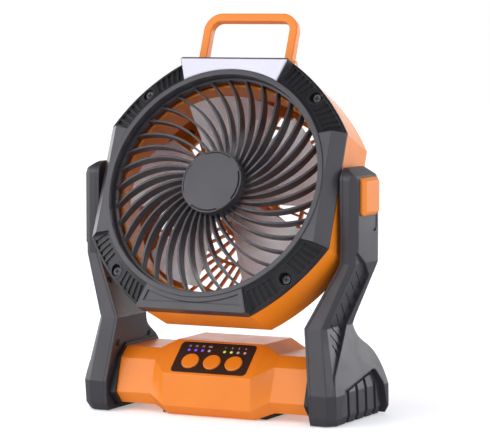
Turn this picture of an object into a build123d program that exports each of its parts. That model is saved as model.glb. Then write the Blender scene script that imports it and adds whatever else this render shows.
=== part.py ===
"""Portable camping fan: a tilting octagonal fan head with a lamp, carried by two arms on a battery base.

Frame: millimetres, +Z up, the fan faces -Y, +X is the right-hand side seen from the front.
The origin is on the floor, under the middle of the whole fan.
"""
from build123d import *
import os
from math import atan2, cos, hypot, radians, sin

# ---- driving dimensions -------------------------------------------------------------------
# tilting head, in its own frame: X across, Y up the face, Z forward out of the face
HEAD_TILT = 22.0            # lean back at rest
PIVOT_Y = -9.2              # pivot axis, from the middle of the arm feet
PIVOT_Z = 185.2
BEZEL_HALF_X = 110.8        # octagon, centre to side flat
BEZEL_HALF_Y = 111.5        # octagon, centre to top flat
OCTAGON_SUM = 160.8         # |x| + |y| at both ends of a corner side
CORNER_BOW = 5.2            # corner sides bow outwards by this much
BEZEL_REAR = 23.5
SHROUD_FRONT = 19.5
FACE = 36.0                 # flat front of the bezel
LIP = 36.9                  # ring round the air outlet
LIP_INNER_R = 96.0
LIP_OUTER_R = 100.3
CORNER_TOP_Z = 35.0         # corner panels fall from the lip ...
CORNER_EDGE_Z = 26.5        # ... to this height at CORNER_EDGE_R
CORNER_EDGE_R = 119.3
CORNER_WELL_Z = 25.0        # seats of the corner screws
SLOTS_PER_SIDE = 5
SLOT_START = 5.9            # degrees from the corner screw to the first slot
SLOT_PITCH = 2.75
LAMP_FLOOR = 28.0
LAMP_TOP_X = 50.0           # lamp window: half width at its top edge ...
LAMP_LOW_X = 43.0           # ... and at LAMP_LOW_Y
LAMP_LOW_Y = 90.0
LAMP_FRAME = 1.6            # bezel left above the lamp
CORNER_SCREW = 79.0         # corner screws, along X and Y from the middle
SIDE_CREASE_X = 101.5       # where the side flats start to fall back
SIDE_EDGE_Z = 25.0

RIB_COUNT = 36
RIB_THICK = 1.8
RIB_PHASE = 4.8
RIB_MID_R = 60.0
RIB_MID_LAG = 16.9          # degrees that the rib trails its rim end at RIB_MID_R
RIB_HUB_R = 28.0
RIB_HUB_LAG = 33.5
RIB_REAR = 22.0
HUB_CAP_R = 27.4
HUB_SEAT = 33.0
HUB_FACE = 38.6

SHELL_HALF_X = 110.0
SHELL_HALF_Y = 110.0
SHELL_SUM = 159.6
SHELL_SIDE_REAR = -21.0     # where the casing starts to close in
SHELL_REAR = -45.0
SHELL_REAR_INSET = 13.0
SHELL_WALL = 2.5
SHROUD_R = 91.0
GUARD_R = 94.0
GUARD_OPENING_R = 90.0
GUARD_FRONT = -40.5
GUARD_REAR = -44.5
GUARD_SCREW_R = 97.5

BLADE_COUNT = 5
BLADE_TIP_R = 86.0
IMPELLER_HUB_R = 20.0
SHAFT_R = 1.5
MOTOR_R = 18.0
MOTOR_SCREW_R = 23.0

HANDLE_OUTER_X = 44.3       # half width over the legs
HANDLE_TOP = 159.3
HANDLE_BAR = 7.0
HANDLE_PIVOT_Y = 113.8
HANDLE_PIVOT_Z = 13.0
HANDLE_PIN_R = 1.6
EAR_R = 3.6                 # ears on the casing that carry the handle
EAR_THICK = 2.6

# arms: right-hand side, stations from the floor up: z, inner x, crease x, outer x at the bevel,
# outer x at ARM_REAR_Y, front y, bevel y
ARM_REAR_Y = 70.0
ARM_STATIONS = [
    (0.8, 95.1, 109.0, 116.0, 122.5, -52.0, -45.5),
    (7.0, 95.1, 111.0, 118.0, 125.5, -54.5, -49.5),
    (26.0, 94.9, 111.3, 118.2, 125.5, -55.9, -51.5),
    (80.5, 87.5, 103.1, 108.6, 109.5, -47.7, -42.0),
    (133.5, 113.3, 122.4, 128.4, 128.4, -34.6, -30.0),
    (216.0, 113.3, 122.4, 128.4, 128.4, -34.6, -30.0),
]
# sculpted panel down the arm and arch on its foot: (y, z, corner radius) outlines and, for each
# station, how far the floor lies below the outer face at the bevel and at ARM_REAR_Y
PANEL_OUTLINE = [
    (-75, 142.9, 0), (-30.1, 142.9, 0), (2.2, 122.0, 5.0), (-10.0, 80.5, 8.0), (-47.5, 42.0, 12.0),
    (-52.0, 27.0, 12.0), (-50.0, 11.0, 0), (-75, 11.0, 0),
]
PANEL_SINK = [(0.3, 0.5), (0.6, 1.2), (1.2, 5.0), (2.2, 8.5), (2.0, 8.5), (0.0, 0.0)]
SLIT_LENGTHS = [23.9, 25.6, 26.0, 26.4, 26.8, 21.0, 15.1, 9.3]
SLIT_DEPTH = 1.5
ARCH_OUTLINE = [
    (-43.5, -3, 0), (-41.0, 13.0, 10.0), (-34.0, 29.0, 4.5), (26.0, 41.0, 7.0), (35.5, 28.0, 14.0),
    (42.0, 8.0, 8.0), (44.0, -3, 0),
]
ARCH_SINK = [(0.5, 4.4), (0.9, 4.8), (2.0, 5.4), (2.0, 6.0), (2.0, 6.0), (2.0, 6.0)]
ARCH_GROOVES_Y = [-24.8, -7.8, 9.2, 26.2]
ARCH_GROOVE_WIDTH = 4.8
ARCH_GROOVE_DEPTH = 2.2
ARCH_SLABS = [
    (-50, -6, 0), (-48.0, 13.0, 10.0), (-37.5, 24.6, 3.0), (22.7, 36.2, 6.0), (30.0, 26.0, 12.0),
    (36.0, 8.0, 8.0), (37.5, -6, 0),
]
ARCH_RIM_SINK = [(3.0, 6.4), (3.2, 6.6), (3.6, 7.2), (3.6, 7.6), (3.6, 7.6), (3.6, 7.6)]
ARM_WALL = 2.8
CAP_CENTER = (-11.0, 188.9)
CAP_SIZE = 31.1
CAP_FACE = 133.0
ARM_COVER = 2.5             # inner cover's thickness
ARM_SCREWS = [(11.8, 60.7), (-43.0, 58.0), (-35.9, 111.0), (-13.0, 152.0)]

# battery base: half sections (y, z) of the box and of the necks that run to the arms
BOX_HALF_X = 41.2
NECK_START_X = 56.4
NECK_END_X = 99.0
BOX_SECTION = [(43.8, 0.6), (54.4, 9.2), (54.6, 36.6), (25.8, 62.2)]
NECK_SECTION = [(38.7, 6.8), (48.6, 17.2), (39.7, 45.3), (29.0, 54.3)]
NECK_REAR = [(37.0, 6.8), (41.4, 17.2), (32.5, 45.3), (23.5, 54.3)]
BASE_WALL = 2.5
COLLAR_X = 89.0
COVER_Z = 0.7               # underside of the bottom plate
NECK_SCREWS = [(-30, 16), (30, 16), (-22, 44), (18, 44)]
COVER_SCREWS = [(x, y) for x in (-37.6, 37.6) for y in (-10.0, 10.0)]

PANEL_SIZE = (71.0, 34.0)
PANEL_THICK = 0.6
PANEL_CENTER = 19.6         # up the sloping face
BUTTON_R = 7.8
BUTTON_PITCH = 20.4
BUTTON_UP = 15.0
BUTTON_PROUD = 1.3
LIGHT_R = 1.3
LIGHT_PITCH = 6.35
LIGHT_UP = 27.4
LIGHT_GROUP_X = 16.8

TRUNNION_R = 7.5
BUSH_R = 10.0
RUNNING_GAP = 0.06
SCREW_R = 1.5

parts = {}
SLOPE_RUN = BOX_SECTION[2][0] - BOX_SECTION[3][0]
SLOPE_RISE = BOX_SECTION[3][1] - BOX_SECTION[2][1]
SLOPE = Plane(
    origin=(0, -BOX_SECTION[2][0], BOX_SECTION[2][1]),
    x_dir=(1, 0, 0),
    z_dir=(0, -SLOPE_RISE, SLOPE_RUN),
)
HEAD = Pos(0, PIVOT_Y, PIVOT_Z) * Rot(90 - HEAD_TILT, 0, 0)


# ---- helpers --------------------------------------------------------------------------------
def polar(r, angle):
    return (r * cos(radians(angle)), r * sin(radians(angle)))


def cylinder(r, z0, z1, x=0, y=0):
    """A cylinder along Z from z0 to z1."""
    return Pos(x, y, (z0 + z1) / 2) * Cylinder(r, abs(z1 - z0))


def rod_x(r, x0, x1, y, z):
    """A cylinder along X from x0 to x1."""
    return Pos((x0 + x1) / 2, y, z) * Rot(0, 90, 0) * Cylinder(r, abs(x1 - x0))


def slab(x0, x1, y0, y1, z0, z1):
    return Pos((x0 + x1) / 2, (y0 + y1) / 2, (z0 + z1) / 2) * Box(x1 - x0, y1 - y0, z1 - z0)


def prism(points, z0, z1):
    """A polygon of (x, y) points, extruded from z0 to z1."""
    face = make_face(Polyline(*points, close=True))
    return Pos(0, 0, z0) * extrude(face, z1 - z0, dir=(0, 0, 1))


def prism_x(points, x0, x1):
    """A polygon of (y, z) points, extruded from x0 to x1."""
    face = make_face(Polyline(*[(x0, y, z) for y, z in points], close=True))
    return extrude(face, x1 - x0, dir=(1, 0, 0))


def octagon(half_x, half_y, corner_sum, z=0.0):
    """Octagon face whose four corner sides bow outwards."""
    cut_x = corner_sum - half_y
    cut_y = corner_sum - half_x
    bow = CORNER_BOW / 2**0.5
    mid_x = (half_x + cut_x) / 2 + bow
    mid_y = (half_y + cut_y) / 2 + bow
    corners = [
        ThreePointArc((sx * half_x, sy * cut_y, z), (sx * mid_x, sy * mid_y, z), (sx * cut_x, sy * half_y, z))
        for sx, sy in ((1, 1), (-1, 1), (-1, -1), (1, -1))
    ]
    flats = [
        Line((sx * cut_x, half_y * sx, z), (-sx * cut_x, half_y * sx, z)) for sx in (1, -1)
    ] + [
        Line((sx * half_x, cut_y, z), (sx * half_x, -cut_y, z)) for sx in (1, -1)
    ]
    return make_face(corners + flats)


def ring(r_out, r_in, z0, z1, x=0, y=0):
    return cylinder(r_out, z0, z1, x, y) - cylinder(r_in, z0 - 1, z1 + 1, x, y)


def group(pieces):
    """Separate solids that share one node."""
    return Compound([solid for piece in pieces for solid in piece.solids()])


def both_sides(name, shape):
    """Files a right-hand piece and its mirror image."""
    parts[name + "_right"] = shape
    parts[name + "_left"] = mirror(shape, about=Plane.YZ)


def pan_screw(head_r, head_h, shank_r, length):
    """A pan-head screw standing on its head's seat: the head is above Z 0, the shank below."""
    body = cylinder(head_r, 0, head_h) + cylinder(shank_r, -length, 0)
    recess = Pos(0, 0, head_h) * (Box(head_r * 1.1, 0.7, head_h) + Box(0.7, head_r * 1.1, head_h))
    return body - recess


# ---- head: bezel with the lamp --------------------------------------------------------------
LAMP_SLOPE = (LAMP_TOP_X - LAMP_LOW_X) / (BEZEL_HALF_Y - LAMP_FRAME - LAMP_LOW_Y)


def lamp_outline(grow=0.0, low=70.0):
    """The trapezoid of the lamp window; the lip ring gives it its hollow lower edge."""
    top = BEZEL_HALF_Y - LAMP_FRAME + min(grow, LAMP_FRAME + 2)
    wide = LAMP_TOP_X + grow
    narrow = wide - (top - low) * LAMP_SLOPE
    return [(-wide, top), (-narrow, low), (narrow, low), (wide, top)]


def corner_panel_field(grow=0.0):
    """Plan of the upper right corner's sunk panel, outside the lip ring."""
    inner_side = LAMP_TOP_X + 1.5 - grow
    low = 70.0
    start_x = inner_side - (BEZEL_HALF_Y - low) * LAMP_SLOPE
    side_y = OCTAGON_SUM - BEZEL_HALF_X - grow
    points = [
        (start_x, low), (inner_side, BEZEL_HALF_Y), (inner_side, 140), (140, 140), (140, side_y),
        (BEZEL_HALF_X, side_y), (88.0, side_y - 4.5), (60, side_y - 4.5),
    ]
    return points


def corner_cone(sink=0.0):
    """Solid under the corner panels' sloping surface, sunk by a given depth."""
    slope = (CORNER_TOP_Z - CORNER_EDGE_Z) / (CORNER_EDGE_R - LIP_OUTER_R)
    low = 10.0
    wide_r = LIP_OUTER_R + (CORNER_TOP_Z - low) / slope
    height = CORNER_TOP_Z - low
    return Pos(0, 0, low + height / 2 - sink) * Cone(wide_r, LIP_OUTER_R, height)


def corner_slots():
    """Grip slots that fan out either side of the corner screw, sunk into the sloping panel."""
    border = prism(corner_panel_field(-1.3), BEZEL_REAR, FACE)
    border &= extrude(octagon(BEZEL_HALF_X - 2, BEZEL_HALF_Y - 2, OCTAGON_SUM - 3.4), 60, dir=(0, 0, 1))
    border -= cylinder(LIP_OUTER_R + 2.8, 0, 60)
    bars = []
    for k in range(SLOTS_PER_SIDE):
        for side in (-1, 1):
            angle = side * (SLOT_START + SLOT_PITCH * k)
            place = polar(LIP_OUTER_R + 3.6, 45 + angle)
            bars.append(Pos(*place, 30) * Rot(0, 0, 45 + 1.3 * angle) * Pos(15, 0, 0) * Box(30, 3.6, 30))
    frame = border - corner_cone(0.4)
    deep = border - corner_cone(1.8)
    slots = [deep & bar for bar in bars]
    screw_land = cylinder(7.0, 0, 60, CORNER_SCREW, CORNER_SCREW)
    return [frame - screw_land] + [slot for slot in slots if slot.solids()]


def front_bezel():
    plan = octagon(BEZEL_HALF_X, BEZEL_HALF_Y, OCTAGON_SUM, BEZEL_REAR)
    body = extrude(plan, FACE - BEZEL_REAR, dir=(0, 0, 1))
    for side in (-1, 1):
        fall = [
            (side * SIDE_CREASE_X, FACE + 0.01), (side * (BEZEL_HALF_X + 0.01), SIDE_EDGE_Z),
            (side * (BEZEL_HALF_X + 9), SIDE_EDGE_Z), (side * (BEZEL_HALF_X + 9), FACE + 5),
            (side * SIDE_CREASE_X, FACE + 5),
        ]
        face = make_face(Polyline(*[(x, -60, z) for x, z in fall], close=True))
        body -= extrude(face, 120, dir=(0, 1, 0))
    field = prism(corner_panel_field(), BEZEL_REAR, FACE + 5) - corner_cone() - cylinder(LIP_OUTER_R, 0, 60)
    cuts = [field, cylinder(5.2, CORNER_WELL_Z, FACE, CORNER_SCREW, CORNER_SCREW)] + corner_slots()
    cuts += [mirror(piece, about=Plane.YZ) for piece in cuts]
    cuts += [mirror(piece, about=Plane.XZ) for piece in cuts]
    body -= cuts
    lamp_pocket = prism(lamp_outline(), LAMP_FLOOR, FACE + 5) - cylinder(LIP_OUTER_R, 0, 60)
    foot_inset = mirror(prism(lamp_outline(-5.0), FACE - 1.2, FACE + 5), about=Plane.XZ)
    foot_inset -= cylinder(LIP_OUTER_R + 4, 0, 60)
    body -= [lamp_pocket, foot_inset]
    body += ring(LIP_OUTER_R, LIP_INNER_R, SHROUD_FRONT, LIP)
    body -= cylinder(LIP_INNER_R, 0, 60)
    return body - [cylinder(SCREW_R + 0.1, 0, 60, x, y) for x, y in corner_screw_places()]


def corner_screw_places():
    return [(x, y) for x in (-CORNER_SCREW, CORNER_SCREW) for y in (-CORNER_SCREW, CORNER_SCREW)]


def led_lens():
    body = prism(lamp_outline(-0.1), LAMP_FLOOR + 3.1, LIP + 1.0) - cylinder(LIP_OUTER_R + 0.3, 0, 60)
    return chamfer(body.faces().sort_by(Axis.Z)[-1].edges(), 0.6)


def led_board():
    return prism(lamp_outline(-1.0), LAMP_FLOOR, LAMP_FLOOR + 1.5) - cylinder(LIP_OUTER_R + 1, 0, 60)


def led_chips():
    chips = []
    for k in range(-4, 5):
        chips.append(Pos(9.5 * k, 105.5, LAMP_FLOOR + 1.9) * Box(2.8, 3.5, 0.8))
    return group(chips)


# ---- head: spiral grille --------------------------------------------------------------------
def circle_through(a, b, c):
    """Centre and radius of the circle through three points."""
    d = 2 * (a[0] * (b[1] - c[1]) + b[0] * (c[1] - a[1]) + c[0] * (a[1] - b[1]))
    sq = [p[0] ** 2 + p[1] ** 2 for p in (a, b, c)]
    x = (sq[0] * (b[1] - c[1]) + sq[1] * (c[1] - a[1]) + sq[2] * (a[1] - b[1])) / d
    y = (sq[0] * (c[0] - b[0]) + sq[1] * (a[0] - c[0]) + sq[2] * (b[0] - a[0])) / d
    return (x, y), hypot(a[0] - x, a[1] - y)


def crown():
    """The grille's turned envelope: a crown that is highest half way between hub and rim."""
    with_front = [(RIB_HUB_R - 2, 29.2), (62.0, 32.2), (LIP_INNER_R - 1, 28.4)]
    outline = [
        Line((RIB_HUB_R - 2, RIB_REAR), (LIP_INNER_R - 1, RIB_REAR)),
        Line((LIP_INNER_R - 1, RIB_REAR), with_front[2]),
        ThreePointArc(with_front[2], with_front[1], with_front[0]),
        Line(with_front[0], (RIB_HUB_R - 2, RIB_REAR)),
    ]
    face = Plane.XZ * make_face(outline)
    return revolve(face, Axis.Z)


def rib():
    """One grille rib: a slice of a ring whose arc leans from the hub to the rim."""
    rim = polar(LIP_INNER_R, 0)
    mid = polar(RIB_MID_R, -RIB_MID_LAG)
    hub = polar(RIB_HUB_R, -RIB_HUB_LAG)
    center, radius = circle_through(rim, mid, hub)
    band = ring(radius + RIB_THICK / 2, radius - RIB_THICK / 2, RIB_REAR - 1, 34, *center)
    half = slab(10, 100, -40, 2.5, RIB_REAR - 2, 35)
    return band & half & crown()


def front_grille():
    rim = ring(LIP_INNER_R - 0.2, LIP_INNER_R - 2.4, SHROUD_FRONT + 0.5, 28.8)
    hub = cylinder(RIB_HUB_R - 1.2, RIB_REAR, HUB_SEAT)
    hub -= cylinder(RIB_HUB_R - 4.5, RIB_REAR - 1, HUB_SEAT - 2.2)
    one = rib()
    ribs = [Rot(0, 0, RIB_PHASE + 360 / RIB_COUNT * k) * one for k in range(RIB_COUNT)]
    return rim + [hub] + ribs


def hub_cap():
    """Flat disc over the hub; four stretches of its rim are stepped down behind a fine groove."""
    body = chamfer(cylinder(HUB_CAP_R, HUB_SEAT, HUB_FACE).faces().sort_by(Axis.Z)[-1].edges(), 0.5)
    sector = prism([(0, 0), polar(40, -28), polar(40, 28)], HUB_SEAT, HUB_FACE + 2)
    step = sector & ring(HUB_CAP_R + 1, HUB_CAP_R - 2.2, HUB_FACE - 0.7, HUB_FACE + 2)
    groove = sector & ring(HUB_CAP_R - 1.5, HUB_CAP_R - 2.3, HUB_FACE - 1.8, HUB_FACE + 2)
    return body - [Rot(0, 0, 90 * k - 6) * cut for k in range(4) for cut in (step, groove)]


# ---- head: rear casing, guard and motor -----------------------------------------------------
def casing_block(inset):
    """The casing's outer form, or its hollow when inset by the wall thickness."""
    half_x = SHELL_HALF_X - inset
    half_y = SHELL_HALF_Y - inset
    total = SHELL_SUM - 1.4 * inset
    drop = SHELL_REAR_INSET
    wide = octagon(half_x, half_y, total, SHELL_SIDE_REAR)
    narrow = octagon(half_x - drop, half_y - drop, total - 1.4 * drop, SHELL_REAR + inset)
    return extrude(wide, BEZEL_REAR - SHELL_SIDE_REAR, dir=(0, 0, 1)) + loft([wide, narrow], ruled=True)


def handle_lugs():
    """Two pairs of ears on top of the casing that carry the handle's pins."""
    ears = []
    leg = HANDLE_OUTER_X - HANDLE_BAR / 2
    for x in (leg - HANDLE_BAR / 2 - 1.6, leg + HANDLE_BAR / 2 + 1.6):
        near, far = x - EAR_THICK / 2, x + EAR_THICK / 2
        low, high = HANDLE_PIVOT_Z - EAR_R, HANDLE_PIVOT_Z + EAR_R
        ear = rod_x(EAR_R, near, far, HANDLE_PIVOT_Y, HANDLE_PIVOT_Z)
        foot = slab(near, far, SHELL_HALF_Y - 2, HANDLE_PIVOT_Y, low, high)
        ears.append(ear + foot - rod_x(HANDLE_PIN_R, x - 5, x + 5, HANDLE_PIVOT_Y, HANDLE_PIVOT_Z))
    return ears + [mirror(ear, about=Plane.YZ) for ear in ears]


def rear_shell():
    body = casing_block(0) - casing_block(SHELL_WALL)
    body -= cylinder(GUARD_OPENING_R + 0.3, SHELL_REAR - 5, SHELL_REAR + 12)
    shroud = ring(SHROUD_R + 2, SHROUD_R, -12, SHROUD_FRONT)
    webs = []
    for k in range(8):
        web = slab(SHROUD_R + 1, 122, -1, 1, -12, SHROUD_FRONT - 2)
        webs.append(Rot(0, 0, 22.5 + 45 * k) * web)
    bosses = [cylinder(5.0, -10, BEZEL_REAR, x, y) for x, y in corner_screw_places()]
    inside = [piece & casing_block(SHELL_WALL / 2) for piece in webs + bosses]
    body += [shroud] + inside + handle_lugs()
    holes = [cylinder(SCREW_R, 0, 30, x, y) for x, y in corner_screw_places()]
    holes += [cylinder(SCREW_R, -60, -38, *polar(GUARD_SCREW_R, 45 + 90 * k)) for k in range(4)]
    holes += [rod_x(TRUNNION_R, s * 100, s * 120, 0, 0) for s in (-1, 1)]
    return body - holes


def guard_zone(r_in, r_out, count, phase):
    """Leaning slats between two rings of the rear guard."""
    lean = 17.0
    middle = (r_in + r_out) / 2
    length = (r_out - r_in + 1.6) / cos(radians(lean))
    place = Pos(middle, 0, (GUARD_REAR + GUARD_FRONT) / 2) * Rot(0, 0, -lean)
    bar = place * Box(length, 1.6, GUARD_FRONT - GUARD_REAR)
    return [Rot(0, 0, phase + 360 / count * k) * bar for k in range(count)]


def rear_guard():
    seat = SHELL_REAR + SHELL_WALL
    rim = ring(GUARD_R, GUARD_OPENING_R - 3, seat, GUARD_FRONT)
    rim += ring(GUARD_OPENING_R, GUARD_OPENING_R - 3, GUARD_REAR, GUARD_FRONT)
    body = rim + [
        ring(78.2, 75.8, GUARD_REAR, GUARD_FRONT),
        ring(50.2, 47.8, GUARD_REAR, GUARD_FRONT),
        cylinder(27, GUARD_REAR, GUARD_FRONT),
    ]
    ears = [cylinder(4.0, seat, GUARD_FRONT, *polar(GUARD_SCREW_R, 45 + 90 * k)) for k in range(4)]
    web = slab(GUARD_R - 2, GUARD_SCREW_R, -4, 4, seat, GUARD_FRONT)
    webs = [Rot(0, 0, 45 + 90 * k) * web for k in range(4)]
    slats = guard_zone(26.5, 48.5, 24, 0)
    slats += guard_zone(49.5, 76.5, 48, 3.75)
    slats += guard_zone(77.5, GUARD_OPENING_R - 2, 48, 0)
    holes = [cylinder(SCREW_R + 0.1, -60, -30, *polar(GUARD_SCREW_R, 45 + 90 * k)) for k in range(4)]
    holes += [cylinder(1.3, -60, -30, *polar(MOTOR_SCREW_R, 30 + 120 * k)) for k in range(3)]
    return body + (ears + webs + slats) - holes


def motor_mount():
    """Cup on the guard's middle that holds the motor."""
    cup = ring(MOTOR_R + 2.2, MOTOR_R, GUARD_FRONT, -18)
    foot = ring(25.5, MOTOR_R, GUARD_FRONT, GUARD_FRONT + 2.5)
    gussets = [Rot(0, 0, 60 * k) * slab(MOTOR_R + 1, 25, -0.9, 0.9, GUARD_FRONT, -26) for k in range(6)]
    holes = [cylinder(1.3, -60, -30, *polar(MOTOR_SCREW_R, 30 + 120 * k)) for k in range(3)]
    return cup + [foot] + gussets - holes


def motor_can():
    body = cylinder(MOTOR_R - 0.1, GUARD_FRONT, -13) + cylinder(5, -13, -11.5)
    return body - cylinder(SHAFT_R + RUNNING_GAP, GUARD_FRONT + 4, 0)


# ---- impeller -------------------------------------------------------------------------------
def blade_section(r, chord, pitch, camber, shift):
    """Cambered lens-shaped section standing at radius r, its chord leaned by the pitch."""
    half = chord / 2
    thick = 1.3
    edges = [
        ThreePointArc((-half, 0), (0, camber + thick), (half, 0)),
        ThreePointArc((half, 0), (0, camber - thick), (-half, 0)),
    ]
    plane = Plane(origin=(r, shift, 3.5), x_dir=(0, 1, 0), z_dir=(1, 0, 0))
    return plane * Rot(0, 0, pitch) * make_face(edges)


def blade():
    sections = [
        blade_section(15, 22, 44, 2.0, 0),
        blade_section(48, 56, 27, 5.0, 3),
        blade_section(88, 84, 17, 6.5, 8),
    ]
    return loft(sections) & cylinder(BLADE_TIP_R, -15, 25)


def fan_blades():
    hub = cylinder(IMPELLER_HUB_R, -10, 13) + cylinder(IMPELLER_HUB_R - 4, 13, 15)
    shoulder = hub.edges().filter_by(GeomType.CIRCLE).group_by(Axis.Z)[-2].sort_by(SortBy.RADIUS)[-1]
    hub = chamfer(shoulder, 2.0)
    hub -= cylinder(IMPELLER_HUB_R - 2, -11, 9)
    hub += cylinder(4, -9, 9.5)
    one = blade() - cylinder(IMPELLER_HUB_R - 1, -20, 30)
    blades = [Rot(0, 0, 72 * k + 20) * one for k in range(BLADE_COUNT)]
    return hub + blades - cylinder(SHAFT_R, -20, 12)


def motor_shaft():
    return cylinder(SHAFT_R, GUARD_FRONT + 5, 12)


# ---- handle ---------------------------------------------------------------------------------
def handle():
    """Carrying bail: two legs and a bar with wide corner arcs, bevelled all along."""
    mid = HANDLE_OUTER_X - HANDLE_BAR / 2
    top = HANDLE_TOP - HANDLE_BAR / 2
    bend = 12.0
    low = HANDLE_PIVOT_Y
    path = FilletPolyline((-mid, low), (-mid, top), (mid, top), (mid, low), radius=bend)
    face = trace(path, line_width=HANDLE_BAR)
    body = Pos(0, 0, HANDLE_PIVOT_Z - HANDLE_BAR / 2) * extrude(face, HANDLE_BAR, dir=(0, 0, 1))
    body += [rod_x(HANDLE_BAR / 2, s * (mid - 3.5), s * (mid + 3.5), low, HANDLE_PIVOT_Z) for s in (-1, 1)]
    bore_r = HANDLE_PIN_R + RUNNING_GAP
    return body - [rod_x(bore_r, s * (mid - 9), s * (mid + 9), low, HANDLE_PIVOT_Z) for s in (-1, 1)]


def handle_pins():
    leg = HANDLE_OUTER_X - HANDLE_BAR / 2
    pin = rod_x(HANDLE_PIN_R, leg - 6.4, leg + 6.4, HANDLE_PIVOT_Y, HANDLE_PIVOT_Z)
    return group([pin, mirror(pin, about=Plane.YZ)])


# ---- arms -----------------------------------------------------------------------------------
def arm_block(inner_shift=0.0, wall=0.0, floor=0.0):
    """The arm's faceted bar, set back from its inner, front and outer faces for a hollow or a cover."""
    faces = []
    for z, inner, crease, outer, outer_rear, front, bevel in ARM_STATIONS:
        level = z + floor if z < 1 else z
        points = [
            (inner + inner_shift, ARM_REAR_Y), (inner + inner_shift, front + wall),
            (crease - 0.5 * wall, front + wall), (outer - wall, bevel + 0.5 * wall),
            (outer_rear - wall, ARM_REAR_Y),
        ]
        faces.append(make_face(Polyline(*[(x, y, level) for x, y in points], close=True)))
    body = loft(faces, ruled=True)
    return body & arm_side_profile(wall) & arm_shoulder(wall)


def arm_side_profile(wall=0.0):
    """The arm seen from the side: straight front, waisted rear edge and long heel."""
    rear = 10.4 - wall
    front = -34.6 + 0.6 * wall
    top = 212.7 - wall
    outline = [
        Polyline((rear, 131.0), (rear, 206.0 - wall), (4.5, top), (-24.6, top)),
        ThreePointArc((-24.6, top), (-31.2 + 0.3 * wall, top - 3.2), (front, 203.0 - wall)),
        Polyline((front, 203.0 - wall), (-70, 203.0 - wall), (-70, -1), (43.0 - wall, -1)),
        Polyline((43.0 - wall, -1), (45.0 - wall, 4.0), (44.8 - wall, 12.0)),
        Spline(
            (44.8 - wall, 12.0), (41.9 - wall, 37.0 - 0.5 * wall), (26.3 - wall, 58.8), (4.8 - wall, 74.3),
            (2.8 - wall, 88.0), tangents=((-0.02, 1), (0.1, 1)), tangent_scalars=(1.0, 1.0),
        ),
        Line((2.8 - wall, 88.0), (rear, 131.0)),
    ]
    face = Plane.YZ * make_face(outline)
    return Pos(70, 0, 0) * extrude(face, 75, dir=(1, 0, 0))


def arm_shoulder(wall=0.0):
    """The arm's top falls in two slopes to its outer face."""
    points = [
        (60, -5), (140, -5), (140, 196.0), (128.4 - wall, 202.0 - wall), (125.8 - wall, 206.5 - wall),
        (117.5 - wall, 212.7 - wall), (117.5 - wall, 230), (60, 230),
    ]
    face = make_face(Polyline(*[(x, -80, z) for x, z in points], close=True))
    return extrude(face, 160, dir=(0, 1, 0))


def arm_skin(sinks, extra=0.0):
    """Everything inwards of a surface that lies below the arm's outer face by the given sinks."""
    faces = []
    for (z, _, _, outer, outer_rear, _, bevel), (sink, rear_sink) in zip(ARM_STATIONS, sinks):
        start = outer - sink - extra
        end = outer_rear - rear_sink - extra
        ahead = start - (end - start) / (ARM_REAR_Y - bevel) * (bevel + 90)
        points = [(60, -90), (ahead, -90), (end, ARM_REAR_Y), (60, ARM_REAR_Y)]
        faces.append(make_face(Polyline(*[(x, y, z) for x, y in points], close=True)))
    return loft(faces, ruled=True)


def soft_prism_x(outline, x0, x1, grow=0.0):
    """A polygon of (y, z, corner radius) points, extruded from x0 to x1."""
    face = make_face(Polyline(*[(y, z) for y, z, _ in outline], close=True))
    for y, z, radius in outline:
        if radius:
            corner = face.vertices().sort_by_distance(Vector(y, z, 0))[0]
            face = fillet(corner, radius)
    if grow:
        face = offset(face, amount=grow)
    face = Plane.YZ * face
    return Pos(x0, 0, 0) * extrude(face, x1 - x0, dir=(1, 0, 0))


def panel_slits(field):
    """Grip slits on the sculpted panel, each with a wedge where it meets the panel's rear wall."""
    floor = arm_skin(PANEL_SINK, SLIT_DEPTH)
    slits = []
    for k, length in enumerate(SLIT_LENGTHS):
        y = max(-39.5, -25.0 - 2.75 * k)
        z = 127.3 - 8.65 * k
        wedge = [(length - 4.5, -0.45), (length, -3.4), (length + 6, -3.4), (length + 6, 0.45)]
        bar = prism([(0, 0.45), (0, -0.45)] + wedge, 60, 140)
        bar = Plane.YZ * (Pos(y, z, 0) * Rot(0, 0, -28 - 0.25 * k * k) * bar)
        slits.append((bar & field) - floor)
    return slits


def foot_arch():
    """Arched recess on the foot: a deep channel round five slabs, and a groove between each two."""
    field = soft_prism_x(ARCH_OUTLINE, 100, 135)
    rim = field - soft_prism_x(ARCH_SLABS, 99, 136)
    half = ARCH_GROOVE_WIDTH / 2
    grooves = [slab(100, 135, y - half, y + half, -3, 45) & field for y in ARCH_GROOVES_Y]
    floor = arm_skin(ARCH_SINK)
    deep = arm_skin(ARCH_SINK, ARCH_GROOVE_DEPTH)
    return [field - floor, rim - arm_skin(ARCH_RIM_SINK)] + [groove - deep for groove in grooves]


def side_seam():
    """Short hooked groove below the pivot cap."""
    path = FilletPolyline((6.0, 174), (6.0, 160), (0.5, 160), radius=3)
    line = Plane.YZ * trace(path, line_width=2.0)
    return Pos(127.0, 0, 0) * extrude(line, 3, dir=(1, 0, 0))


def cap_pocket(x0, x1, grow=0.0):
    """Rounded window in the arm's outer face for the pivot cap."""
    plan = Plane(origin=(x0, *CAP_CENTER), x_dir=(0, 1, 0), z_dir=(1, 0, 0))
    return extrude(plan * RectangleRounded(CAP_SIZE + 2 * grow, CAP_SIZE + 2 * grow, 4 + grow), x1 - x0)


def arm_hollow():
    """The room inside the arm, kept clear of the sculpted panel and the arch."""
    hollow = arm_block(inner_shift=ARM_COVER - 1.0, wall=ARM_WALL, floor=3.2)
    zones = soft_prism_x(PANEL_OUTLINE, 60, 140, 3.0) + soft_prism_x(ARCH_OUTLINE, 60, 140, 3.0)
    core = arm_skin([(5.6, 12.0)] * len(ARM_STATIONS))
    return hollow - (zones - core)


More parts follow.
